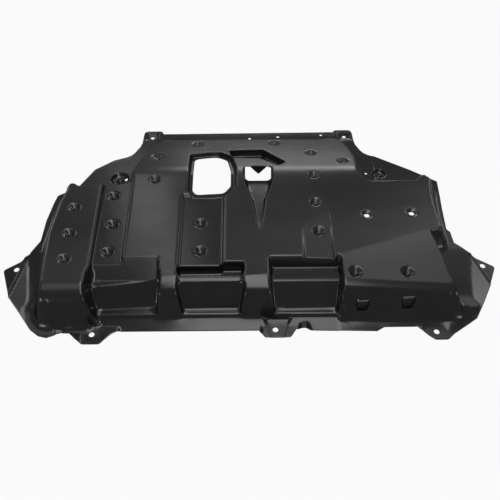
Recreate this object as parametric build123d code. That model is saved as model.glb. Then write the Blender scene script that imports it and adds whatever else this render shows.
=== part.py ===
"""Engine splash shield: one moulded plastic sheet, road side up, front edge towards -Y. Millimetres."""
import os
from math import cos, pi, radians, sin
from build123d import *

# the sheet and the draft of its drawn walls
wall = 2.5
draft = 12
lean = 3.8              # the deck falls this much towards the rear when the shield rests
edgeRound = 5

# heights above the front rim, in the frame of the deck
deckTop = 105
skirtTop = 52           # side flanges and front of the shoulders
skirtRear = 45          # rear flange
lipTop = 25             # land below the front pockets
lipEdge = 22
rimTop = 3.2            # free edge of the front flange
terraceTop = 75
under = -30

# stations along the shield, front to rear
rimFront = -281
lipFront = -252
lipRear = -241
noseFront = -263        # left block, where the deck and front wall would meet
noseMid = -250          # middle, same
skirtBend = -104        # side flanges start to fall here towards the front
skirtFall = 46          # shoulders start to fall here towards the rear
deckBend = 91           # the deck starts to fall here towards the rear
deckRear = 255
deckRearTop = 57
noseRound = 42
bendRound = 150
reach = 480             # half width that the skirt blocks cover

# fixing holes and their lands, in the frame of the resting shield
rearHoleX, rearHoleY = 242, 282
wingHoleX, wingHoleY = 501, -141
frontHoleLeft, frontHoleMid, frontHoleRight = -326, 51, 382
frontHoleY = -290
frontHoleMidY = -282
tabTop = 8
rearTabTop = wall
wingTop = 29
rearHoleR = 5
frontHoleR = 6

# conical dimples
dimpleR = 14
dimpleFloorR = 5
dimpleDepth = 7
slopeTilt = 16.3


def outline(points, inset=0):
    """Closed flat shape through the points, drawn in by the inset."""
    face = make_face(Polyline(*points, close=True))
    return offset(face, -inset, kind=Kind.INTERSECTION) if inset else face


def drawn(points, w, top=deckTop):
    """Block below an outline, its walls spreading downwards by the draft."""
    return extrude(Pos(0, 0, top - w) * outline(points, w), amount=top - w, dir=(0, 0, -1), taper=-draft)


def across(points, x0, x1):
    """Side view (y, z) carried across the shield from x0 to x1."""
    face = make_face(Polyline(*[(y, z) for y, z in points], close=True))
    return Pos(x0, 0, 0) * extrude(Plane.YZ * face, amount=x1 - x0)


def below(a, b, c, plan, w):
    """Block over a plan, cut off by the sloping plane through three points."""
    a, b, c = Vector(*a), Vector(*b), Vector(*c)
    up = (b - a).cross(c - a).normalized()
    up = up if up.Z > 0 else up * -1
    block = Pos(0, 0, under) * extrude(outline(plan, w), amount=150)
    return split(block, bisect_by=Plane(origin=a - up * w, z_dir=up), keep=Keep.BOTTOM)


def above(a, b, c, plan, w):
    """Cutter over a plan, from the sloping plane through three points upwards."""
    a, b, c = Vector(*a), Vector(*b), Vector(*c)
    up = (b - a).cross(c - a).normalized()
    up = up if up.Z > 0 else up * -1
    block = Pos(0, 0, under) * extrude(outline(plan, -w), amount=170)
    return split(block, bisect_by=Plane(origin=a - up * w, z_dir=up), keep=Keep.TOP)


def sideView(front, x0, x1, w):
    """Deck profile: front wall, rounded nose, flat, bend and rear slope."""
    corners = [(front - 9, 0), (front, deckTop), (deckBend, deckTop), (deckRear, deckRearTop), (deckRear + 6, 0)]
    face = outline(corners, w)
    for (y, z), r in (((front, deckTop), noseRound), ((deckBend, deckTop), bendRound),
                      ((deckRear, deckRearTop), 2 * edgeRound)):
        face = fillet(face.vertices().sort_by_distance((y, z, 0))[0], r - w)
    return Pos(x0, 0, 0) * extrude(Plane.YZ * face, amount=x1 - x0)


def rounded(solid, w, wanted, r=edgeRound):
    return fillet([e for e in solid.edges() if wanted(e @ 0.5)], r - w)


def leftBlock(w):
    plan = [(-418, -300), (-427, -188), (-430, -96), (-421, -7), (-407, 45), (-332, 49), (-332, -300)]
    block = drawn(plan, w) & sideView(noseFront, -480, -250, w)
    block = rounded(block, w, lambda c: c.X < -404 and (c.Z > 80 or c.Y < -262))
    return rounded(block, w, lambda c: 30 < c.Y < 60 and c.Z > 100 - w)


def middle(w):
    left = [(-350, -300), (-350, 50), (-298, 58), (-280, 61), (-269, 68), (-263, 88), (-264, 112), (-254, 148),
            (-236, 184), (-226, 214), (-207, 243), (-196, 300)]
    right = [(203, 300), (215, 250), (235, 203), (247, 155), (249, 88), (253, 73), (263, 62), (280, 50), (280, -40),
             (180, -60), (180, -300)]
    plan = left + right
    return drawn(plan, w) & sideView(noseMid, -380, 320, w)


def rightPanel(w):
    plan = [(150, -168), (150, 54), (380, 57), (412, 60), (408, -12), (413, -92), (383, -97), (186, -161)]
    block = drawn(plan, w)
    return rounded(block, w, lambda c: c.Z > 100 - w and (c.X > 400 and c.Y > -90 or c.Y > 50))


def rightBlock(w):
    """Block whose top tips towards the front about an oblique fold."""
    tip, turn, wallLean = radians(6), radians(18), radians(13)
    plan = [(186, -320), (186, -60), (383, -60), (383, -97), (433, -320)]
    fold = Plane(origin=(186, -161, deckTop - w), z_dir=(sin(turn) * sin(tip), -cos(turn) * sin(tip), cos(tip)))
    front = Plane(origin=(300, -264 + w, 0), z_dir=(-0.03, -cos(wallLean), sin(wallLean)))
    block = split(split(drawn(plan, w), bisect_by=fold, keep=Keep.BOTTOM), bisect_by=front, keep=Keep.BOTTOM)
    return rounded(block, w, lambda c: c.Y < -220 and c.Z > 60 and 200 < c.X < 400, 5 * edgeRound)


def skirts(w):
    """Flanges, valleys and webs that carry the drawn blocks."""
    left, right = -reach, reach
    rear = [(skirtBend, skirtTop - w), (skirtFall, skirtTop - w), (-rimFront, skirtRear - w),
            (340, skirtRear - 4 - w), (340, under), (skirtBend, under)]
    side = [(-320, under), (-320, 1 - w), (skirtBend, skirtTop - w), (skirtBend, under)]
    slope = (lipEdge - rimTop) / (lipFront - rimFront)
    knee = rimFront + 0.2 * w / slope
    front = [(-320, under), (-320, rimTop - w), (knee, rimTop - w), (lipFront, lipEdge - 1.2 * w),
             (lipRear, lipTop - w), (-60, lipTop - w), (-60, under)]
    webLeft = below((-504, -219, 44), (-477, -113, 49), (-449, -272, 10),
                    [(-476, -100), (-505, -222), (-505, -320), (-400, -320), (-400, -100)], w)
    webRight = below((506, -192, 44), (474, -110, 49), (452, -272, 10),
                     [(472, -100), (507, -196), (507, -320), (395, -320), (395, -100)], w)
    solid = across(rear, left, right) + across(front, left, right)
    return solid + across(side, left - 8, -395) + across(side, 390, right) + webLeft + webRight


def tool(plan, floor, w, taper=10, tall=160):
    """Cutter above a floor height, opening upwards."""
    return extrude(Pos(0, 0, floor - w) * outline(plan, -w), amount=tall - floor, taper=-taper)


def box(x0, x1, y0, y1):
    return [(x0, y0), (x1, y0), (x1, y1), (x0, y1)]


def sunk(plan, depth, w):
    """Cutter that follows the flat and the rear slope of the deck at one depth."""
    kept = across([(-320, under), (-320, deckTop), (deckBend, deckTop), (deckRear, deckRearTop), (300, 40),
                   (300, under)], -520, 520)
    return extrude(Pos(0, 0, under + 40) * outline(plan, -w), amount=150) - Pos(0, 0, -depth - w) * kept


def pocket(x0, x1, edge0, edge1, lip0, lip1, floor, w):
    """Front opening between two buttresses, from its shelf edge down to the lip land."""
    side = 7
    high = [(x0 - w, -330), (x0 - w, edge0 + w), (x1 + w, edge1 + w), (x1 + w, -330)]
    low = [(x0 + side - w, -330), (x0 + side - w, lip0 + w), (x1 - side + w, lip1 + w), (x1 - side + w, -330)]
    lower = loft([Pos(0, 0, lipTop - w) * outline(low), Pos(0, 0, floor - w) * outline(high)], ruled=True)
    return lower + Pos(0, 0, floor - w) * extrude(outline(high), amount=60)


def pockets(w):
    """Three front pockets; the middle one keeps a cross bar below the deck."""
    left = pocket(-329, -186, -223, -203, -241, -236, terraceTop, w)
    left += above((-328, -206, terraceTop), (-188, -206, terraceTop), (-250, -165, deckTop - 1),
                  box(-328, -188, -206, -150), w) + tool(box(-328, -188, -300, -206), terraceTop, w)
    centre = pocket(-148, -13, -229, -228, -241, -240, terraceTop + 14, w)
    centre += tool(box(-147, -15, -205, -190), terraceTop + 2, w, 4)
    centre += tool(box(-59, -15, -204, -183), terraceTop + 2, w, 4) + tool(box(-147, -15, -300, -191), deckTop - 6, w)
    right = pocket(42, 186, -208, -208, -244, -243, terraceTop, w) + tool(box(44, 184, -300, -173), terraceTop, w)
    return left + centre + right


def channels(w):
    """Shallow lengthways channels of the deck."""
    outer = sunk([(-328, 90), (-264.5, 90), (-264.5, -175), (-328, -200)], 10, w)
    inner = sunk([(-148, 14), (-57, 14), (-57, -192), (-148, -192)], 6, w)
    ramp = above((112, -80, deckTop), (173, -30, deckTop), (173, -175, deckTop - 9), box(112, 173, -180, -30), w)
    return outer + inner + ramp


def window(w):
    frame = [(-138, 172), (-88, 182), (-70, 182), (-42, 162), (-31, 107), (-31, 40), (-52, 11), (-122, 8), (-136, 24)]
    return sunk(frame, 12, w)


def windowOpening():
    face = outline([(-129, 166), (-88, 174), (-72, 174), (-51, 158), (-42, 105), (-42, 50), (-57, 28), (-119, 24),
                    (-128, 36)])
    return extrude(fillet(face.vertices(), 16), amount=140)


def duct(w):
    """Flush duct: a ramp that widens and deepens towards its mouth."""
    half = [(2, -94), (7.5, -50), (14, 5), (31, 60), (31.5, 106)]
    middleX = 21
    plan = [(middleX - x, y) for x, y in half] + [(middleX + x, y) for x, y in reversed(half)]
    kept = across([(-110, 0), (-110, deckTop + 2), (-94, deckTop), (82, deckTop - 26), (120, deckTop - 30), (120, 0)],
                  -60, 120)
    return extrude(outline(plan, -w), amount=150) - Pos(0, 0, -w) * kept


def ductMouth():
    """The duct is open at its deep end, up to the thin rear edge of the deck."""
    return Pos(21, 96.5, 60) * Box(60, 27, 100)


def ductGusset():
    face = make_face(Polyline((2, 106), (42, 106), (24, 84), (20, 84), close=True))
    return Pos(0, 110 + wall, 0) * Rot(90, 0, 0) * extrude(Pos(0, -8, 0) * face, amount=wall)


def bumps(w):
    """Raised rear corners of the two side panels."""
    return [Pos(x, y, 0) * Cone(r + 18 - w, r - w, deckTop - w, align=(Align.CENTER, Align.CENTER, Align.MIN))
            for x, y, r in ((-398, 41, 13), (398, 56, 17))]


def wallMarks(w):
    """Two small keyed recesses in the front wall of the right block."""
    face = outline([(-14, 11), (14, 11), (10, -11), (-10, -11)], -w)
    mark = Rot(90, 0, 0) * Pos(0, 0, -5 - w) * extrude(face, amount=60)
    return [Pos(x, -252, 54) * Rot(-13, 0, 0) * mark for x in (229, 321)]


def rimArch(w):
    """Small arch in the front rim beside the middle tab."""
    return Pos(110, rimFront - 4, 1) * Rot(90, 0, 0) * Cylinder(13 - w, 34)


def arrowGroove(w):
    plan = [(-45, 192), (33, 195), (84, 132), (68, 117), (28, 153), (-37, 157)]
    return sunk(plan, 20, w)


def cup(r0, r1, height, flats=12):
    """Tapered cup that stands on its narrow end."""
    turns = [2 * pi * k / flats for k in range(flats)]
    low, high = ([(r * cos(t), r * sin(t), z) for t in turns] for r, z in ((r0, 0), (r1, height)))
    sides = [make_face(Polyline(low[k - 1], low[k], high[k], high[k - 1], close=True)) for k in range(flats)]
    ends = [make_face(Polyline(*ring, close=True)) for ring in (low, high)]
    return Solid(Shell(sides + ends))


def dimple(x, y, w, deep=dimpleDepth, down=0, tilt=0):
    """Dimple sunk square to the surface it stands in, its wall in twelve flats."""
    if y > deckBend:
        down, tilt = (y - deckBend) * (deckTop - deckRearTop) / (deckRear - deckBend), -slopeTilt
    flare = (dimpleR - dimpleFloorR) / deep
    floorR, height = dimpleFloorR + w / 2, deep + w + 2
    return Pos(x, y, deckTop - down) * Rot(tilt, 0, 0) * Pos(0, 0, -deep - w) * cup(floorR, floorR + height * flare,
                                                                                   height)


def dimples(w):
    spots = [(-382, -22), (-382, -98), (-382, -169), (-216, 161), (-213, 63), (-124, 226), (63, 232), (149, 177),
             (221, 136), (147, 75), (145, -12)]
    cups = [dimple(x, y, w) for x, y in spots]
    cups += [dimple(x, y, w, down=10) for x, y in ((-303, 21), (-296, -66), (-297, -144))]
    cups += [dimple(x, y, w, down=6) for x, y in ((-106, -69), (-104, -147))] + [dimple(147, -97, w, down=3)]
    cups += [dimple(214, -205, w, down=6, tilt=6), dimple(321, -205, w, down=9, tilt=6)]
    cups += [dimple(x, y, w, deep=5) for x, y in ((254, -51), (352, -46))]
    return cups


def deckForm(w):
    """Everything that leans with the deck, as the block below its surface."""
    solid = leftBlock(w) + middle(w) + rightPanel(w) + rightBlock(w) + skirts(w) + shoulderFacet(w)
    solid = solid + bumps(w) + rimArch(w)
    for cutter in (pockets(w), channels(w), window(w), duct(w), arrowGroove(w)):
        solid = solid - cutter
    return solid - dimples(w) - wallMarks(w)


def settled(solid):
    """Lean about the front rim into the resting position."""
    return Pos(0, rimFront, 0) * Rot(-lean, 0, 0) * Pos(0, -rimFront, 0) * solid


def slab(plan, top, w):
    return Pos(0, 0, under) * extrude(outline(plan), amount=top - w - under)


def bossCup(x, y, r, w):
    """Round cup in a shoulder with a hollow post in its middle."""
    seat = (Align.CENTER, Align.CENTER, Align.MIN)
    return Pos(x, y, 12 - w) * (Cylinder(r + w, 50, align=seat) - Cylinder(7 - w, 7, align=seat))


def shoulderFacet(w):
    """Middle stretch of the right shoulder, which stands a little above the rest at its left end."""
    return below((301, 205, 50), (301, 110, 53), (387, 150, 49), [(301, 240), (301, 60), (387, 60), (387, 240)], w)


def form(w):
    solid = settled(deckForm(w))
    solid += slab([(-472, -104), (-540, -104), (-540, -230), (-500, -226)], wingTop, w)
    solid += slab([(468, -104), (540, -104), (540, -206), (502, -200)], wingTop, w)
    for x0, x1 in ((-374, -272), (22, 97), (350, 440)):
        solid += slab(box(x0, x1, -330, -274), tabTop, w)
    lands = [tool(plan, tabTop - 1, w, 30, 20) for plan in (
        [(-349, -267), (-303, -265), (-300, -292), (-310, -330), (-345, -330)],
        [(31, -259), (80, -259), (69, -296), (69, -330), (41, -330), (41, -296)],
        [(356, -266), (405, -265), (402, -330), (356, -330)])]
    lands += [tool(box(x - 18, x + 18, 269, 299), rearTabTop, w, 20, 30) for x in (-rearHoleX, rearHoleX)]
    return solid - lands - [bossCup(-306, 124, 20, w), bossCup(310, 135, 14, w)]


def rim():
    """Free edge of the sheet seen from above, once round from the rear left tab."""
    leftShoulder = [(-219, 304), (-263, 304), (-265, 250), (-286, 208), (-328, 192), (-370, 159), (-402, 96)]
    leftSide = [(-444, 69), (-449, 44), (-457, -11), (-459, -71), (-477, -108)]
    leftWing = [(-529, -143), (-504, -215), (-478, -247), (-453, -280), (-435, -293), (-418, -297), (-404, -292),
                (-391, -285), (-373, -286)]
    leftTab = [(-361, -298), (-345, -312), (-309, -312), (-287, -289), (-272, -281)]
    midTab = [(17, -281), (29, -300), (82, -300), (94, -281)]
    rightRim = [(261, -285), (276, -277), (345, -277)]
    rightTab = [(364, -297), (377, -308), (404, -308), (418, -295)]
    rightWing = [(469, -263), (489, -228), (506, -194), (527, -144), (474, -110)]
    rightSide = [(447, -85), (445, -54), (438, -45), (440, 18), (445, 108)]
    rightShoulder = [(387, 150), (280, 214), (264, 250), (262, 304), (219, 304), (214, 296), (-214, 292)]
    face = outline(leftShoulder + leftSide + leftWing + leftTab + midTab + rightRim + rightTab + rightWing
                   + rightSide + rightShoulder)
    tight = midTab[1:3] + leftTab[1:3] + rightTab + [leftWing[0], rightWing[3], leftShoulder[0], rightShoulder[4]]
    wide = leftShoulder[2:4] + rightShoulder[1:3]
    for points, r in ((tight, 8), (leftShoulder[1:2] + rightShoulder[3:4], 12), (wide, 35)):
        for x, y in points:
            face = fillet(face.vertices().sort_by_distance((x, y, 0))[0], r)
    return Pos(0, 0, under) * extrude(face, amount=200)


def upright(x, y, r):
    return Pos(x, y, 30) * Cylinder(r, 120)


def holes():
    """Fixing holes stand upright when the shield rests; the others stand square to the deck."""
    fixing = [upright(x, rearHoleY, rearHoleR) for x in (-rearHoleX, rearHoleX)]
    fixing += [upright(x, wingHoleY, frontHoleR) for x in (-wingHoleX, wingHoleX)]
    fixing += [upright(x, y, frontHoleR) for x, y in (
        (frontHoleLeft, frontHoleY), (frontHoleMid, frontHoleMidY), (frontHoleRight, frontHoleY))]
    small = [upright(3, 272, 4), upright(74, 278, 4), upright(183, 284, 4), upright(-293, 131, 4),
             upright(280, 138, 3.5)]
    return fixing + small


def deckHoles():
    through = [Pos(x, y, deckTop) * Cylinder(6, 40) for x, y in ((254, -51), (352, -46))]
    return [settled(s) for s in [windowOpening(), ductMouth()] + through]


def splashShield():
    sheet = (form(0) - form(wall)) & rim()
    sheet = sheet - holes() - deckHoles() + settled(ductGusset())
    box = sheet.bounding_box()
    print("moved", [round(-v, 3) for v in (box.center().X, box.center().Y, box.min.Z)])
    return Pos(-box.center().X, -box.center().Y, -box.min.Z) * sheet


if __name__ == "__main__":
    os.makedirs("parts", exist_ok=True)
    shield = splashShield()
    box = shield.bounding_box()
    print("size", [round(v, 2) for v in box.size], "solids", len(shield.solids()), "volume", round(shield.volume))
    export_step(shield, "parts/splash_shield.step")
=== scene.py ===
import math
import bpy
import numpy as np
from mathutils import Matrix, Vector, geometry
from mathutils.bvhtree import BVHTree


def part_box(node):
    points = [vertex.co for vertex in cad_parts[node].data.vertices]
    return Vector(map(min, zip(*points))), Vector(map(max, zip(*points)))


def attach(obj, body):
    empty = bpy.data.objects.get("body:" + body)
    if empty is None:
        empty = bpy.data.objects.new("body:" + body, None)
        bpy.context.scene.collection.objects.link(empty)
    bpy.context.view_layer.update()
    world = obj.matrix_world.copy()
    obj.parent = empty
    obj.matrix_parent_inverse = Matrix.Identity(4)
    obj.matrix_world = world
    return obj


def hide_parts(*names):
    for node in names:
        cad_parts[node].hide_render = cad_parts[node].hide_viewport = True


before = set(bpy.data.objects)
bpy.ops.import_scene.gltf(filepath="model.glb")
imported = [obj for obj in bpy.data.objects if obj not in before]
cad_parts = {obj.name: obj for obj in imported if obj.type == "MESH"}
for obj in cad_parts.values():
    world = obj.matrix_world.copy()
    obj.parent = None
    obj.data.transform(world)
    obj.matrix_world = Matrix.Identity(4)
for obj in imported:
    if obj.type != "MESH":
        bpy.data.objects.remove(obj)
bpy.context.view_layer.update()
mm = 0.001
print("frame loaded")

# the moulded sheet, in millimetres
shield = {
    "wall": 2.5,
    "deckTop": 105,
    "rearSlope": (91, 48, 164),  # where it starts, and its fall over its run
    "lean": 3.8,                 # the deck falls towards the rear
    "leanAxis": -281,            # front rim
    "moved": (1.2, 4.0),         # from the shield's own stations to the frame

    # free edge seen from above, once round from the rear left tab: x, y and the corner's radius
    "rim": [
        (-219, 304, 8), (-263, 304, 12), (-265, 250, 35), (-286, 208, 35), (-328, 192, 3),
        (-370, 159, 3), (-402, 96, 3), (-444, 69, 3), (-449, 44, 3), (-457, -11, 3),
        (-459, -71, 3), (-477, -108, 3), (-529, -143, 8), (-504, -215, 3), (-478, -247, 3),
        (-453, -280, 3), (-435, -293, 3), (-418, -297, 3), (-404, -292, 3), (-391, -285, 3),
        (-373, -286, 3), (-361, -298, 3), (-345, -312, 8), (-309, -312, 8), (-287, -289, 3),
        (-272, -281, 3), (17, -281, 3), (29, -300, 8), (82, -300, 8), (94, -281, 3),
        (261, -285, 3), (276, -277, 3), (345, -277, 3), (364, -297, 8), (377, -308, 8),
        (404, -308, 8), (418, -295, 8), (469, -263, 3), (489, -228, 3), (506, -194, 3),
        (527, -144, 8), (474, -110, 3), (447, -85, 3), (445, -54, 3), (438, -45, 3),
        (440, 18, 3), (445, 108, 3), (387, 150, 3), (280, 214, 35), (264, 250, 35),
        (262, 304, 12), (219, 304, 8), (214, 296, 3), (-214, 292, 3),
    ],
    "window": [
        (-129, 166, 16), (-88, 174, 16), (-72, 174, 16), (-51, 158, 16), (-42, 105, 16),
        (-42, 50, 16), (-57, 28, 16), (-119, 24, 16), (-128, 36, 16),
    ],
    "windowDrop": 12,            # from the deck to the window's frame
    "uprightHoles": [            # x, y and radius
        (-242, 282, 5), (242, 282, 5), (-501, -141, 6), (501, -141, 6), (-326, -290, 6), (51, -282, 6),
        (382, -290, 6), (3, 272, 4), (74, 278, 4), (183, 284, 4), (-293, 131, 4), (280, 138, 3.5),
    ],
    "deckHoles": [(254, -51, 6), (352, -46, 6)],
    "deckHoleDrop": 4,
    "ductMouth": {"left": -9, "right": 51, "front": 83, "rear": 110, "floor": 78.7, "corner": 2},
    "gusset": {"outline": [(2, 98), (20, 76), (24, 76), (42, 98)], "front": 110, "rear": 112.5},
    "dimples": [
        (-382, -22), (-382, -98), (-382, -169), (-216, 161), (-213, 63), (-124, 226), (63, 232),
        (149, 177), (221, 136), (147, 75), (-303, 21), (-296, -66), (-297, -144), (-106, -69),
        (-104, -147), (147, -97), (145, -12), (214, -205), (321, -205),
    ],
    "dimpleDepth": 7,
    "bowl": (1.2, 2.8, 9),       # hollow in a dimple's floor: its depth, its width and where it ends
    "crossBar": {
        "left": -147, "right": -15,
        "rear": -205, "front": -229,
        "top": 99,
        "fall": 4,               # from the bar's rear edge to its front edge
    },
    "frontWall": {"point": (300, -264, 0), "outward": (-0.03, -0.9744, 0.225), "lean": 13},  # right block
    "wallMarks": {
        "stations": (229, 321), "y": -252, "z": 54,
        "outline": [(-14, 11), (-10, -11), (10, -11), (14, 11)],
        "corner": 2,
        "depth": 5,
        "inset": 0.88,           # size of a mark's floor against its mouth
        "clearWidth": 17,        # half width and heights of the wall that is made plain before they are cut
        "clearHeights": (36, 74),
    },

    # rounded turns of the deck: a point and the outward direction of each face, and the radius between
    "turns": {
        "leftNose": ((0, -263, 105), (0, 0, 1), (0, -263, 105), (0, -105, 9), 42),
        "middleNose": ((0, -250, 105), (0, 0, 1), (0, -250, 105), (0, -105, 9), 42),
        "rightNose": ((186, -161, 105), (0.0323, -0.0994, 0.9945),
                      (300, -264, 0), (-0.03, -0.9744, 0.225), 25),
        "rearBend": ((0, 91, 105), (0, 0, 1), (0, 91, 105), (0, 48, 164), 150),
        "rearEdge": ((0, 255, 57), (0, 48, 164), (0, 255, 57), (0, 57, 6), 10),
    },
    "arcMargin": 0.7,            # farthest that a facet of the solid lies from its true arc

    "edgeSoftness": 1.2,         # rounding of every moulded corner
    # wider rounding where the tall walls stand on the flanges, with its places in the frame
    "feet": {
        "softness": 4.5,
        "frontSoftness": 8,      # under the front walls
        "front": (-225, 20),     # where the front walls begin, and the fading there
        "height": (66, 10),      # highest place that it reaches, and the fading there
        "plainRear": (195, 100),     # half width and front end of the rear part, which has none
        "pockets": (-73, 261, 8),    # middle, half width and fading of the front pockets
        "pocketsRear": (-150, 20),
        "pocketsLose": 0.85,         # share of this rounding that the pockets go without
    },
    # softer places in the frame: left, right, front and rear end, width of the fading, softness
    "softPlaces": {
        "crossBar": (-145, -15, -231, -188, 5, 3.5),
        "leftCrevice": (-352, -306, -300, -175, 8, 3),
        "leftEdge": (-470, -402, -310, 90, 5, 3),
        "rightEdge": (402, 470, -310, 90, 5, 3),
        "leftWeb": (-468, -440, -320, -95, 10, 6),
        "rightWeb": (440, 468, -320, -95, 10, 6),
    },
    "sliver": 3,                 # strips of the sampled surface narrower than this go

    "topMesh": 2,                # point spacing at the corners of the upper face
    "undersideMesh": 4,
    "coarsestMesh": 16,          # point spacing on the flats
    "flatness": 0.1,             # how far a facet may stand off the surface
    "cornerStep": 0.3,           # turn between two points of a rounded corner, in radians
    "cornerShare": 0.45,         # most of a side that one rounded corner takes
    "rimSpacing": 3.0,
    "rimRound": 1.4,             # rounding of the free edge
    "roundedLoops": 3,           # rim, window and the duct's mouth
    "clearOfEdge": 1,            # no other point of the mesh is closer to a free edge
    "folds": {                   # points that move onto a fold
        "quarters": 5,           # quarters of a millimetre tried each way
        "farthest": 1.6,         # square of the longest move
        "awayCost": 0.12,        # loss of value for each square millimetre of the move
        "leastBend": 0.12,
        "cell": 0.9,             # points as close as this become one
    },
}


def settled(x, y, z):  # deck station to the place it takes when the shield rests
    angle = math.radians(shield["lean"])
    back = y - shield["leanAxis"]
    restY = shield["leanAxis"] + back * math.cos(angle) + z * math.sin(angle)
    restZ = z * math.cos(angle) - back * math.sin(angle)
    return x + shield["moved"][0], restY + shield["moved"][1], restZ


def settledDirection(direction):
    base, tip = settled(0, 0, 0), settled(*direction)
    return Vector(tip) - Vector(base)


def roundedLoop(points):  # corners rounded, runs divided evenly
    corners = [Vector(point[:2]) for point in points]
    most = shield["cornerShare"]
    loop = []
    for i, here in enumerate(corners):
        back, ahead = corners[i - 1] - here, corners[(i + 1) % len(corners)] - here
        turn = math.pi - back.angle(ahead)
        reach = min(points[i][2] * math.tan(turn / 2), back.length * most, ahead.length * most)
        start, end = here + back.normalized() * reach, here + ahead.normalized() * reach
        count = max(1, round(turn / shield["cornerStep"]))
        for share in [k / count for k in range(count + 1)]:
            loop.append(start.lerp(here, share).lerp(here.lerp(end, share), share))
    evened = []
    for a, b in zip(loop, loop[1:] + loop[:1]):
        steps = max(1, round((b - a).length / shield["rimSpacing"]))
        evened += [tuple(a.lerp(b, k / steps)) for k in range(steps)]
    return evened


def circleLoop(x, y, radius, count=20):
    turns = [math.tau * k / count for k in range(count)]
    return [(x + radius * math.cos(turn), y + radius * math.sin(turn)) for turn in turns]


def freeEdges():  # the rim first, then every opening
    dx, dy = shield["moved"]
    deckTop, mouth = shield["deckTop"], shield["ductMouth"]
    windowLevel, holeLevel = deckTop - shield["windowDrop"], deckTop - shield["deckHoleDrop"]
    loops = [roundedLoop([(x + dx, y + dy, r) for x, y, r in shield["rim"]])]
    loops.append(roundedLoop([settled(x, y, windowLevel)[:2] + (r,) for x, y, r in shield["window"]]))
    left, right = mouth["left"] + dx, mouth["right"] + dx
    front = settled(0, mouth["front"], mouth["floor"])[1]
    rear = settled(0, mouth["rear"], deckTop)[1]
    corners = ((left, front), (right, front), (right, rear), (left, rear))
    loops.append(roundedLoop([(*corner, mouth["corner"]) for corner in corners]))
    loops += [circleLoop(x + dx, y + dy, r) for x, y, r in shield["uprightHoles"]]
    loops += [circleLoop(*settled(x, y, holeLevel)[:2], r) for x, y, r in shield["deckHoles"]]
    return loops


def inside(x, y, loop):  # even-odd count of crossings
    odd = np.zeros(len(x), bool)
    for (x0, y0), (x1, y1) in zip(loop, loop[1:] + loop[:1]):
        if y0 == y1:
            continue
        crossing = (y0 > y) != (y1 > y)
        odd ^= crossing & (x < (x1 - x0) * (y - y0) / (y1 - y0) + x0)
    return odd


def nearLoop(x, y, loop, distance):  # closer to any run of the loop than the distance
    near = np.zeros(len(x), bool)
    for (x0, y0), (x1, y1) in zip(loop, loop[1:] + loop[:1]):
        alongX, alongY = x1 - x0, y1 - y0
        share = np.clip(((x - x0) * alongX + (y - y0) * alongY) / (alongX ** 2 + alongY ** 2), 0, 1)
        near |= (x - x0 - share * alongX) ** 2 + (y - y0 - share * alongY) ** 2 < distance ** 2
    return near


def sampleTop(node, margin=12):  # heights of the solid's upper face on a 1 mm grid
    low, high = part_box(node)
    xs = np.arange(math.floor(low[0] / mm) - margin, math.ceil(high[0] / mm) + margin + 1)
    ys = np.arange(math.floor(low[1] / mm) - margin, math.ceil(high[1] / mm) + margin + 1)
    mesh = bpy.data.objects[node].data
    tree = BVHTree.FromPolygons([v.co for v in mesh.vertices], [p.vertices for p in mesh.polygons])
    height = np.full((len(ys), len(xs)), np.nan)
    down, above = Vector((0, 0, -1)), high[2] + 10 * mm
    for row, y in enumerate(ys):
        for column, x in enumerate(xs):
            hit = tree.ray_cast(Vector((x * mm, y * mm, above)), down)[0]
            if hit:
                height[row, column] = hit.z / mm
    return xs.astype(float), ys.astype(float), height


def grownOut(height, rounds=24):  # carries the surface on past its free edges
    grown = height.copy()
    for _ in range(rounds):
        empty = np.isnan(grown)
        known = np.where(empty, 0, grown)
        total, count = np.zeros_like(grown), np.zeros_like(grown)
        for shift in ((0, 1), (0, -1), (1, 0), (-1, 0), (1, 1), (-1, -1), (1, -1), (-1, 1)):
            total += np.roll(known, shift, (0, 1))
            count += np.roll(~empty, shift, (0, 1))
        fill = empty & (count > 0)
        grown[fill] = total[fill] / count[fill]
    return np.nan_to_num(grown, nan=0.0)


def trueTurn(height, xs, ys, turn):  # the solid's facets give way to the true arc between two faces
    pointA, faceA, pointB, faceB, radius = turn
    a, b = settledDirection(faceA).normalized(), settledDirection(faceB).normalized()
    along = a.cross(b).normalized()
    sides = np.array([a, b, along])
    reach = [a.dot(Vector(settled(*pointA))) - radius, b.dot(Vector(settled(*pointB))) - radius, 0]
    centre = np.linalg.solve(sides, reach)
    x, y = np.meshgrid(xs - centre[0], ys - centre[1])
    run = along.x * x + along.y * y
    square, half, rest = 1 - along.z ** 2, -run * along.z, x ** 2 + y ** 2 - run ** 2 - radius ** 2
    root = half ** 2 - square * rest
    rise = (-half + np.sqrt(np.maximum(root, 0))) / square
    lengthways = run + rise * along.z
    out = [x - lengthways * along.x, y - lengthways * along.y, rise - lengthways * along.z]
    out = np.stack(out, axis=-1)
    pastA = np.cross(np.array(a), out) @ np.array(along) > 0
    beforeB = np.cross(out, np.array(b)) @ np.array(along) > 0
    arc = rise + centre[2]
    close = pastA & beforeB & (root > 0) & (abs(height - arc) < shield["arcMargin"])
    height[close] = arc[close]
    return height


def wallHeight(x, y):  # plane of the right block's front wall
    point = Vector(settled(*shield["frontWall"]["point"]))
    outward = settledDirection(shield["frontWall"]["outward"])
    return point.z - (outward.x * (x - point.x) + outward.y * (y - point.y)) / outward.z


def withoutMarks(height, xs, ys):  # the marks are cut later, as pans of their own
    marks = shield["wallMarks"]
    x, y = np.meshgrid(xs, ys)
    plane = wallHeight(x, y)
    lowest, highest = marks["clearHeights"]
    for station in marks["stations"]:
        near = abs(x - station - shield["moved"][0]) < marks["clearWidth"]
        here = near & (plane > lowest) & (plane < highest)
        height[here] = plane[here]
    return height


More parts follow.
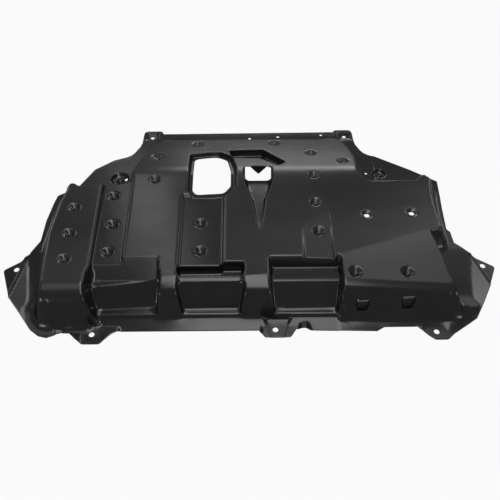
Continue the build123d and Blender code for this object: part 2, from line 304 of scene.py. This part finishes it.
def markLoop(station, deeper=0):  # outline of a wall mark seen from above
    marks = shield["wallMarks"]
    angle = math.radians(shield["frontWall"]["lean"])
    outward = settledDirection(shield["frontWall"]["outward"]).normalized()
    corners = [settled(station + u, marks["y"] + v * math.sin(angle), marks["z"] + v * math.cos(angle))
               for u, v in marks["outline"]]
    return roundedLoop([(x - outward.x * deeper, y - outward.y * deeper, marks["corner"])
                        for x, y, z in corners])


def bowled(height, xs, ys):  # dimple floors are slightly hollow
    start, fall, run = shield["rearSlope"]
    depth, width, reach = shield["bowl"]
    for x, y in shield["dimples"]:
        level = shield["deckTop"] - shield["dimpleDepth"] - max(0, y - start) * fall / run
        middleX, middleY = settled(x, y, level)[:2]
        i, j = int(middleX - xs[0]), int(middleY - ys[0])
        near = (slice(j - reach, j + reach + 1), slice(i - reach, i + reach + 1))
        away = (ys[near[0], None] - middleY) ** 2 + (xs[None, near[1]] - middleX) ** 2
        height[near] -= depth * np.exp(-away / (2 * width ** 2))
    return height


def rolledBar(height, xs, ys):  # the cross bar's top rounds off towards the front
    bar = shield["crossBar"]
    left, rear, high = settled(bar["left"], bar["rear"], bar["top"])
    right, front, low = settled(bar["right"], bar["front"], bar["top"])
    along = (rear - ys) / (rear - front)
    plane = (high + along * (low - high))[:, None]
    onTop = (abs(height - plane) < 1) & (along > 0)[:, None]
    here = (xs > left)[None, :] & (xs < right)[None, :] & onTop
    return height - here * (bar["fall"] * np.clip(along, 0, 1) ** 2)[:, None]


def tidied(height):  # thin strips go, edges stay where they are
    reach = shield["sliver"]
    steps = range(-reach, reach + 1)
    shifts = [(dy, dx) for dy in steps for dx in steps if dx ** 2 + dy ** 2 <= reach ** 2 + 1]
    return np.median([np.roll(height, shift, (0, 1)) for shift in shifts], axis=0)


def softened(height, sigma):
    steps = range(-math.ceil(sigma * 3), math.ceil(sigma * 3) + 1)
    taps = [math.exp(-0.5 * (k / sigma) ** 2) for k in steps]
    for axis in (0, 1):
        height = sum(w * np.roll(height, k, axis) for w, k in zip(taps, steps)) / sum(taps)
    return height


def fadedIn(distance, fading):  # from 0 at the border to 1 past the fading
    return np.clip(distance / fading, 0, 1)


def roundedCorners(height, xs, ys):  # every corner a little, the feet of the walls and some places more
    feet = shield["feet"]
    column, row = xs[None, :], ys[:, None]
    crisp = softened(height, shield["edgeSoftness"])
    start, fading = feet["front"]
    front = fadedIn(start - row, fading)
    wide = (1 - front) * softened(height, feet["softness"]) + front * softened(height, feet["frontSoftness"])
    highest, fading = feet["height"]
    share = fadedIn(highest - crisp, fading)
    halfWidth, start = feet["plainRear"]
    share[(abs(column) < halfWidth) & (row > start)] = 0
    middle, halfWidth, fading = feet["pockets"]
    pockets = fadedIn(halfWidth - abs(column - middle), fading)
    start, fading = feet["pocketsRear"]
    share *= 1 - feet["pocketsLose"] * (pockets * fadedIn(start - row, fading))
    height = crisp + share * np.maximum(wide - crisp, 0)
    for left, right, front, rear, fading, softness in shield["softPlaces"].values():
        fromSide = np.minimum(column - left, right - column) / fading
        fromEnd = np.minimum(row - front, rear - row) / fading
        share = np.clip(np.minimum(fromSide, fromEnd), 0, 1)
        height = height + share * (softened(height, softness) - height)
    return height


def hollowed(height):  # inner face of a sheet of even wall
    wall, reach = shield["wall"], int(shield["wall"])
    inner = height - wall
    for dy in range(-reach, reach + 1):
        for dx in range(-reach, reach + 1):
            away = dx ** 2 + dy ** 2
            if away <= wall ** 2:
                inner = np.minimum(inner, np.roll(height, (dy, dx), (0, 1)) - math.sqrt(wall ** 2 - away))
    return inner


def sampled(grid, xs, ys, x, y):  # value between the grid's points
    u, v = x - xs[0], y - ys[0]
    i, j = np.clip(u.astype(int), 0, len(xs) - 2), np.clip(v.astype(int), 0, len(ys) - 2)
    right, rear = u - i, v - j
    front = grid[j, i] * (1 - right) + grid[j, i + 1] * right
    return front * (1 - rear) + (grid[j + 1, i] * (1 - right) + grid[j + 1, i + 1] * right) * rear


def bendOf(height):  # sharpest bend at each point, in any direction, and never quite 0
    slopeY, slopeX = np.gradient(height)
    bendY, bendX = np.gradient(slopeY, axis=0), np.gradient(slopeX, axis=1)
    twist = np.gradient(slopeY, axis=1)
    return abs(bendX + bendY) / 2 + np.sqrt((bendX - bendY) ** 2 / 4 + twist ** 2) + 1e-9


def meshPoints(bend, xs, ys, finest):  # close together where the surface bends, far apart on the flats
    least = np.sqrt(8 * shield["flatness"] / bend)  # chord of a bow as high as the flatness
    wanted = np.zeros_like(bend, bool)
    step, reach = finest, 1
    while step <= shield["coarsestMesh"]:
        while reach <= step:
            for axis in (0, 1):
                beside = np.minimum(np.roll(least, 1, axis), np.roll(least, -1, axis))
                least = np.minimum(least, beside)
            reach += 1
        lattice = np.zeros_like(wanted)
        lattice[::step, ::step] = True
        wanted |= lattice & ((least < 2 * step) | (step == shield["coarsestMesh"]))
        step *= 2
    rows, columns = np.nonzero(wanted)
    return xs[columns], ys[rows]


def onFolds(bend, xs, ys, x, y):  # points beside a fold move onto it, so that it runs clean
    folds = shield["folds"]
    quarters = range(-folds["quarters"], folds["quarters"] + 1)
    best = sampled(bend, xs, ys, x, y)
    before = best.copy()
    movedX, movedY = x.copy(), y.copy()
    for dx, dy in [(i / 4, j / 4) for i in quarters for j in quarters]:
        away = dx ** 2 + dy ** 2
        value = sampled(bend, xs, ys, x + dx, y + dy) * (1 - folds["awayCost"] * away)
        better = (away < folds["farthest"]) & (value > best) & (value > folds["leastBend"])
        best[better] = value[better]
        movedX[better], movedY[better] = x[better] + dx, y[better] + dy
    order = np.argsort(-best)
    cellX, cellY = (np.round(moved[order] / folds["cell"]).astype(int) for moved in (movedX, movedY))
    cell = cellX * 100000 + cellY  # one number for each cell
    first = order[np.unique(cell, return_index=True)[1]]
    print("points moved onto folds", int((best > before).sum()), "kept", len(first), "of", len(x))
    return movedX[first], movedY[first]


def outwardOf(loop):  # unit directions away from the loop's middle ground
    points = np.array(loop)
    along = np.roll(points, -1, axis=0) - np.roll(points, 1, axis=0)
    turn = (points[:, 0] * np.roll(points[:, 1], -1) - np.roll(points[:, 0], -1) * points[:, 1]).sum()
    out = np.stack([along[:, 1], -along[:, 0]], axis=1) * (1 if turn > 0 else -1)
    return out / np.linalg.norm(out, axis=1, keepdims=True)


def besideLoop(loop, distance):  # a row of points inside the loop, or outside it below 0
    return np.array(loop) - outwardOf(loop) * distance


def triangulated(x, y, loops):  # the points and loops joined up, with nothing across an opening
    innerCount = len(x)
    edges, start = [], innerCount
    for loop in loops:
        edges += [(start + k, start + (k + 1) % len(loop)) for k in range(len(loop))]
        start += len(loop)
    flat = [Vector(p) for p in zip(x, y)] + [Vector(p) for loop in loops for p in loop]
    made = geometry.delaunay_2d_cdt(flat, edges, [], 0, 1e-6)
    if len(made[0]) != len(flat):
        print("points merged", len(flat) - len(made[0]))
    places = np.array([tuple(v) for v in made[0]])
    onLoop = np.array([max(sources) - innerCount for sources in made[3]])  # below 0 for the other points
    triangles = np.array(made[2])
    unsure = (onLoop[triangles] >= 0).all(axis=1)
    middle = places[triangles[unsure]].mean(axis=1)
    solid = inside(middle[:, 0], middle[:, 1], loops[0])
    for loop in loops[1:]:
        solid &= ~inside(middle[:, 0], middle[:, 1], loop)
    kept = np.ones(len(triangles), bool)
    kept[unsure] = solid
    triangles = triangles[kept]
    a, b, c = (places[triangles[:, k]] for k in range(3))
    area = (b[:, 0] - a[:, 0]) * (c[:, 1] - a[:, 1]) - (b[:, 1] - a[:, 1]) * (c[:, 0] - a[:, 0])
    triangles = np.where(area[:, None] > 0, triangles, triangles[:, ::-1])
    loopVertex = np.zeros(onLoop.max() + 1, int)
    loopVertex[onLoop[onLoop >= 0]] = np.nonzero(onLoop >= 0)[0]
    return places, triangles, loopVertex


def surface(height, xs, ys, loops, finest):  # one face of the sheet, with the true surface's normals
    bend = bendOf(height)
    x, y = meshPoints(bend, xs, ys, finest)
    rounded = 0
    if finest == shield["topMesh"]:
        x, y = onFolds(bend, xs, ys, x, y)
        rounded = shield["roundedLoops"]
    keep = inside(x, y, loops[0])
    rows = []
    for k, loop in enumerate(loops):
        clear = shield["clearOfEdge"]
        if k < rounded:
            clear += shield["rimRound"]
            rows.append(besideLoop(loop, shield["rimRound"] * (1 if k == 0 else -1)))
        keep &= ~nearLoop(x, y, loop, clear)
        if k > 0:
            keep &= ~inside(x, y, loop)
    points = np.concatenate([np.stack([x[keep], y[keep]], axis=1)] + rows)
    places, triangles, loopVertex = triangulated(points[:, 0], points[:, 1], loops)
    x, y = places[:, 0], places[:, 1]
    slopeY, slopeX = np.gradient(height)
    slopes = [-sampled(slope, xs, ys, x, y) for slope in (slopeX, slopeY)]
    normal = np.stack(slopes + [np.ones(len(x))], axis=1)
    normal /= np.linalg.norm(normal, axis=1, keepdims=True)
    places = np.stack([x, y, sampled(height, xs, ys, x, y)], axis=1)
    start = 0
    for k, loop in enumerate(loops[:rounded]):
        edge = loopVertex[start:start + len(loop)]
        start += len(loop)
        places[edge, 2] -= shield["rimRound"] / 2
        normal[edge, :2] += outwardOf(loop) * (1 if k == 0 else -1)
        normal[edge] /= np.linalg.norm(normal[edge], axis=1, keepdims=True)
    return {"places": places, "normals": normal, "triangles": triangles, "loopVertex": loopVertex}


def edgeStrip(loop, isRim, top, low, places):  # closes the sheet along a free edge
    turn = sum(a[0] * b[1] - a[1] * b[0] for a, b in zip(loop, loop[1:] + loop[:1]))
    if (turn > 0) != isRim:
        top, low = top[::-1], low[::-1]
    ahead, lowAhead = np.roll(top, -1), np.roll(low, -1)
    along = places[ahead] - places[top]
    outward = np.stack([along[:, 1], -along[:, 0], 0 * along[:, 0]], axis=1)
    outward = outward / np.linalg.norm(outward, axis=1, keepdims=True)
    return np.stack([ahead, top, low, lowAhead], axis=1).tolist(), np.repeat(outward, 4, axis=0)


def pan(mouth, mouthPlaces, firstNew):  # floor and sides of a wall mark, below the vertices of its loop
    marks = shield["wallMarks"]
    outward = np.array(settledDirection(shield["frontWall"]["outward"]).normalized())
    middle = mouthPlaces.mean(axis=0)
    floor = middle + (mouthPlaces - middle) * marks["inset"] - outward * marks["depth"]
    count = len(mouth)
    low = [firstNew + k for k in range(count)]
    sides = [(mouth[k], mouth[(k + 1) % count], low[(k + 1) % count], low[k]) for k in range(count)]
    return floor, sides + [tuple(low)]


def gussetPlate(firstNew):  # upright plate under the duct's rear edge
    gusset = shield["gusset"]
    places = [settled(x, y, z) for y in (gusset["front"], gusset["rear"]) for x, z in gusset["outline"]]
    sides = [(k, (k + 1) % 4, (k + 1) % 4 + 4, k + 4) for k in range(4)]
    faces = [(3, 2, 1, 0), (4, 5, 6, 7)] + sides
    return np.array(places), [tuple(firstNew + k for k in face) for face in faces]


def buildSheet(upper, under, loops, marks):
    upperCount = len(upper["places"])
    turned = under["triangles"][:, ::-1]
    places = [upper["places"], under["places"]]
    faces = upper["triangles"].tolist() + (turned + upperCount).tolist()
    normals = [upper["normals"][upper["triangles"].ravel()], -under["normals"][turned.ravel()]]
    start = 0
    for k, loop in enumerate(loops):
        top = upper["loopVertex"][start:start + len(loop)]
        low = under["loopVertex"][start:start + len(loop)] + upperCount
        strip, outward = edgeStrip(loop, k == 0, top, low, upper["places"])
        faces += strip
        normals.append(outward)
        start += len(loop)
    total = upperCount + len(under["places"])
    flatFaces = []
    for loop in marks:
        for side, shift in ((upper, 0), (under, upperCount)):
            mouth = side["loopVertex"][start:start + len(loop)]
            floor, made = pan((mouth + shift).tolist(), side["places"][mouth], total)
            flatFaces += [face[::-1] if side is upper else face for face in made]
            places.append(floor)
            total += len(floor)
        start += len(loop)
    plate, made = gussetPlate(total)
    places.append(plate)
    flatFaces += made
    places = np.concatenate(places)
    for face in flatFaces:
        points = places[list(face)]
        across = np.cross(points[1:-1] - points[0], points[2:] - points[0]).sum(axis=0)
        normals.append(np.tile(across / np.linalg.norm(across), (len(face), 1)))
    mesh = bpy.data.meshes.new("splashShieldSheet")
    mesh.from_pydata((places * mm).tolist(), [], faces + flatFaces)
    mesh.polygons.foreach_set("use_smooth", [True] * len(mesh.polygons))
    mesh.normals_split_custom_set(np.concatenate(normals).tolist())
    piece = bpy.data.objects.new("splashShieldSheet", mesh)
    bpy.context.collection.objects.link(piece)
    print("sheet built, triangles", sum(len(face) - 2 for face in faces + flatFaces))
    return piece


def shieldSheet():
    xs, ys, height = sampleTop("splash_shield")
    print("surface sampled", height.shape)
    for turn in shield["turns"].values():
        height = trueTurn(height, xs, ys, turn)
    height = bowled(tidied(grownOut(withoutMarks(height, xs, ys))), xs, ys)
    height = roundedCorners(rolledBar(height, xs, ys), xs, ys)
    loops = freeEdges()
    marks = [markLoop(station) for station in shield["wallMarks"]["stations"]]
    innerMarks = [markLoop(station, shield["wall"]) for station in shield["wallMarks"]["stations"]]
    upper = surface(height, xs, ys, loops + marks, shield["topMesh"])
    under = surface(hollowed(height), xs, ys, loops + innerMarks, shield["undersideMesh"])
    print("upper face", len(upper["triangles"]), "underside", len(under["triangles"]))
    return buildSheet(upper, under, loops, marks)


# noise is given as cells to the metre and detail
blackPlastic = {
    "colour": (0.005, 0.005, 0.0055),
    "dustColour": (0.009, 0.009, 0.010),
    "dust": (23, 6),
    "paintedLightColour": (0.022, 0.022, 0.0245),  # raised faces of the deck, painted lighter as a painted highlight for the light they catch; channels stay darker as painted shade
    "paintedLightFrom": (0.0985, 0.1035),          # heights above the leaning front rim, in metres
    "paintedLightNoise": (3.2, 4),
    "paintedLightSteps": (0.3, 0.65, 0.3, 1),        # range of the noise, and the range that it becomes
    "gloss": (0.15, 0.27),                    # least and most roughness
    "patches": (5, 5),
    "patchSteps": (0.35, 0.65),
    "patchStretch": (0.6, 1.4, 1),
    "waves": (16, 2),
    "waviness": 0.15,
    "waveDepth": 0.002,
}


def plasticMaterial():
    material = bpy.data.materials.new("mouldedBlackPlastic")
    material.use_nodes = True
    nodes, links = material.node_tree.nodes, material.node_tree.links
    skin = nodes["Principled BSDF"]
    place = nodes.new("ShaderNodeTexCoord").outputs["Object"]

    def noise(grain, source):
        made = nodes.new("ShaderNodeTexNoise")
        made.inputs["Scale"].default_value, made.inputs["Detail"].default_value = grain
        links.new(source, made.inputs["Vector"])
        return made.outputs["Fac"]

    def ranged(source, low, high, least, most):
        made = nodes.new("ShaderNodeMapRange")
        for name, value in (("From Min", low), ("From Max", high), ("To Min", least), ("To Max", most)):
            made.inputs[name].default_value = value
        links.new(source, made.inputs["Value"])
        return made.outputs["Result"]

    def blend(share, first, second):
        made = nodes.new("ShaderNodeMix")
        made.data_type = "RGBA"
        links.new(share, made.inputs[0])
        for socket, colour in ((made.inputs[6], first), (made.inputs[7], second)):
            if isinstance(colour, tuple):
                socket.default_value = (*colour, 1)
            else:
                links.new(colour, socket)
        return made.outputs[2]

    stretch = nodes.new("ShaderNodeMapping")
    stretch.inputs["Scale"].default_value = blackPlastic["patchStretch"]
    links.new(place, stretch.inputs["Vector"])
    patches = noise(blackPlastic["patches"], stretch.outputs["Vector"])
    roughness = ranged(patches, *blackPlastic["patchSteps"], *blackPlastic["gloss"])
    links.new(roughness, skin.inputs["Roughness"])

    # height above the leaning front rim, which tells raised faces from channels: raised faces are painted
    # lighter as painted light, channels and recesses stay darker as painted shade
    angle = math.radians(shield["lean"])
    rise = nodes.new("ShaderNodeVectorMath")
    rise.operation = "DOT_PRODUCT"
    rise.inputs[1].default_value = (0, math.sin(angle), math.cos(angle))
    links.new(place, rise.inputs[0])
    base = (shield["leanAxis"] + shield["moved"][1]) * mm * math.sin(angle)
    low, high = (level + base for level in blackPlastic["paintedLightFrom"])
    raised = ranged(rise.outputs["Value"], low, high, 0, 1)
    # painted light: the raised faces of the deck get a lighter colour, broken up by noise, in place of the
    # light they catch
    paintedLightShare = nodes.new("ShaderNodeMath")
    paintedLightShare.operation = "MULTIPLY"
    links.new(raised, paintedLightShare.inputs[0])
    paintedLightNoise = noise(blackPlastic["paintedLightNoise"], stretch.outputs["Vector"])
    links.new(ranged(paintedLightNoise, *blackPlastic["paintedLightSteps"]), paintedLightShare.inputs[1])
    clean = blend(noise(blackPlastic["dust"], place), blackPlastic["colour"], blackPlastic["dustColour"])
    links.new(blend(paintedLightShare.outputs[0], clean, blackPlastic["paintedLightColour"]), skin.inputs["Base Color"])

    bump = nodes.new("ShaderNodeBump")
    bump.inputs["Strength"].default_value = blackPlastic["waviness"]
    bump.inputs["Distance"].default_value = blackPlastic["waveDepth"]
    links.new(noise(blackPlastic["waves"], place), bump.inputs["Height"])
    links.new(bump.outputs["Normal"], skin.inputs["Normal"])
    return material


sheet = shieldSheet()
sheet.data.materials.append(plasticMaterial())
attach(sheet, "root")
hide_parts("splash_shield")
print("shield dressed")

studio = {
    "floorSize": 12,
    "floorLevel": -0.0005,
    "floorTone": 0.2,
    "floorRoughness": 0.9,
    "floorGlow": 0.95,        # share of plain white in what the camera sees of the floor
    "mirrorGlow": 0.06,       # the same share in what the gloss of the plastic shows
    "ambient": 0.2,
}

# soft lights: place, aim, width and height in metres, brightness
lights = {
    "top": ((0.03, -0.4, 2.0), (0, 0, 0), (0.85, 2.8), 3.6),
    "topLeft": ((-1.05, -0.3, 2.0), (-0.1, 0, 0), (1.1, 1.4), 0.7),
    "rearLow": ((0.25, 3.0, 0.85), (0, 0, 0.05), (1.3, 0.6), 4.5),
    "rearFarLeft": ((-1.9, 1.9, 1.4), (0, 0, 0), (0.9, 0.9), 2.2),
    "rearMidLeft": ((-0.5, 1.65, 1.95), (0, 0, 0), (0.3, 1.6), 1.5),
    "rearFarRight": ((1.9, 1.9, 1.4), (0, 0, 0), (0.9, 0.9), 2.2),
    "rearMidRight": ((1.1, 1.3, 2.2), (0, 0, 0), (0.9, 1.1), 1.2),
    "frontLeft": ((-1.5, -1.9, 0.3), (-0.4, -0.2, 0.05), (0.7, 0.4), 7),
    "frontRight": ((1.7, -1.7, 0.35), (0.4, -0.2, 0.05), (0.7, 0.4), 7),
}


def whiteShare(nodes, links):  # what the camera, glass and gloss see of the white surroundings
    rays = nodes.new("ShaderNodeLightPath")
    gloss = nodes.new("ShaderNodeMath")
    gloss.operation = "MULTIPLY"
    gloss.inputs[1].default_value = studio["mirrorGlow"]
    links.new(rays.outputs["Is Glossy Ray"], gloss.inputs[0])
    share = gloss.outputs[0]
    for name in ("Is Camera Ray", "Is Transmission Ray"):
        most = nodes.new("ShaderNodeMath")
        most.operation = "MAXIMUM"
        links.new(share, most.inputs[0])
        links.new(rays.outputs[name], most.inputs[1])
        share = most.outputs[0]
    return share


def layFloor():
    bpy.ops.mesh.primitive_plane_add(size=studio["floorSize"], location=(0, 0, studio["floorLevel"]))
    floor = bpy.context.object
    floor.name = "floor"
    material = bpy.data.materials.new("whiteFloor")
    material.use_nodes = True
    nodes, links = material.node_tree.nodes, material.node_tree.links
    matt = nodes["Principled BSDF"]
    matt.inputs["Base Color"].default_value = (studio["floorTone"],) * 3 + (1,)
    matt.inputs["Roughness"].default_value = studio["floorRoughness"]
    glow = nodes.new("ShaderNodeEmission")
    glow.inputs["Color"].default_value = (1, 1, 1, 1)
    share = nodes.new("ShaderNodeMath")
    share.operation = "MULTIPLY"
    share.inputs[1].default_value = studio["floorGlow"]
    mixed = nodes.new("ShaderNodeMixShader")
    links.new(whiteShare(nodes, links), share.inputs[0])
    links.new(share.outputs[0], mixed.inputs[0])
    links.new(matt.outputs[0], mixed.inputs[1])
    links.new(glow.outputs[0], mixed.inputs[2])
    links.new(mixed.outputs[0], nodes["Material Output"].inputs["Surface"])
    floor.data.materials.append(material)


def lightWorld():
    world = bpy.data.worlds.new("studio")
    bpy.context.scene.world = world
    world.use_nodes = True
    nodes, links = world.node_tree.nodes, world.node_tree.links
    back = nodes["Background"]
    back.inputs["Color"].default_value = (1, 1, 1, 1)
    strength = nodes.new("ShaderNodeMapRange")
    strength.inputs["To Min"].default_value = studio["ambient"]
    strength.inputs["To Max"].default_value = 1
    links.new(whiteShare(nodes, links), strength.inputs["Value"])
    links.new(strength.outputs["Result"], back.inputs["Strength"])


def aimed(place, aim):
    return (Vector(aim) - Vector(place)).to_track_quat("-Z", "Y").to_euler()


def softLight(name, place, aim, size, brightness):
    lamp = bpy.data.lights.new(name, "AREA")
    lamp.shape = "RECTANGLE"
    lamp.size, lamp.size_y = size
    lamp.energy = brightness * math.pi * size[0] * size[1]
    holder = bpy.data.objects.new(name, lamp)
    holder.location = place
    holder.rotation_euler = aimed(place, aim)
    bpy.context.collection.objects.link(holder)


shot = {
    "place": (-0.0078, -1.0307, 1.2881),
    "aim": (0.0015, -0.0968, 0.0385),
    "lens": 51.7,
    "sensorWidth": 36,
    "nearest": 0.05,
}


def placeCamera():
    view = bpy.data.cameras.new("camera")
    view.lens = shot["lens"]
    view.sensor_width = shot["sensorWidth"]
    view.clip_start = shot["nearest"]
    holder = bpy.data.objects.new("camera", view)
    holder.location = shot["place"]
    holder.rotation_euler = aimed(shot["place"], shot["aim"])
    bpy.context.collection.objects.link(holder)
    bpy.context.scene.camera = holder


layFloor()
lightWorld()
for name, settings in lights.items():
    softLight(name, *settings)
placeCamera()
bpy.context.scene.view_settings.view_transform = "Standard"
print("studio set")
